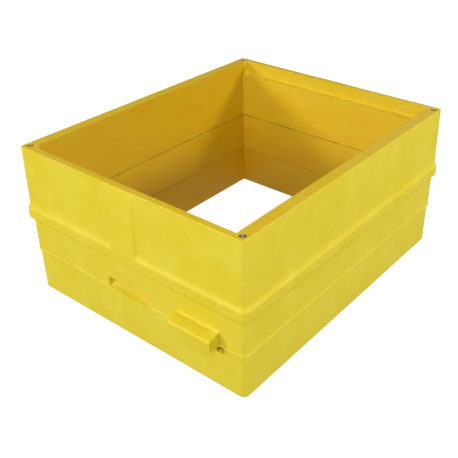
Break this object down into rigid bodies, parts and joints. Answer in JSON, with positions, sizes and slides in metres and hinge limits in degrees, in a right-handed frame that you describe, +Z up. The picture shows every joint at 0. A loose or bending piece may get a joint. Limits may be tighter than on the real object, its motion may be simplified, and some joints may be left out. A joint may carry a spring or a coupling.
{
  "type": "langstroth hive box",
  "caption": "Deep Langstroth hive box of mitred moulded plastic wall panels in three lapped tiers, with corner tie bolts, frame rests, scooped handholds and lifting cleats.",
  "frame": {"origin": "centre of the box's footprint at the bottom edge", "axes": "+Z up towards the open top, +Y along the long side towards the rear end wall, +X towards the right-hand wall; the end wall seen in the picture faces -Y"},
  "size_m": [0.4254, 0.548, 0.2445],
  "materials": {
    "panel_plastic": "satin moulded skin, slightly mottled",
    "bolt_steel": "dark zinc plating"
  },
  "bodies": {
    "root": {"front_upper_panel": "panel_plastic", "front_middle_panel": "panel_plastic", "front_lower_panel": "panel_plastic", "rear_upper_panel": "panel_plastic", "rear_middle_panel": "panel_plastic", "rear_lower_panel": "panel_plastic", "left_upper_panel": "panel_plastic", "left_middle_panel": "panel_plastic", "left_lower_panel": "panel_plastic", "right_upper_panel": "panel_plastic", "right_middle_panel": "panel_plastic", "right_lower_panel": "panel_plastic", "front_left_tie_bolt": "bolt_steel", "front_right_tie_bolt": "bolt_steel", "rear_left_tie_bolt": "bolt_steel", "rear_right_tie_bolt": "bolt_steel", "front_left_washer": "bolt_steel", "front_right_washer": "bolt_steel", "rear_left_washer": "bolt_steel", "rear_right_washer": "bolt_steel", "front_left_nut": "bolt_steel", "front_right_nut": "bolt_steel", "rear_left_nut": "bolt_steel", "rear_right_nut": "bolt_steel"}
  },
  "joints": []
}
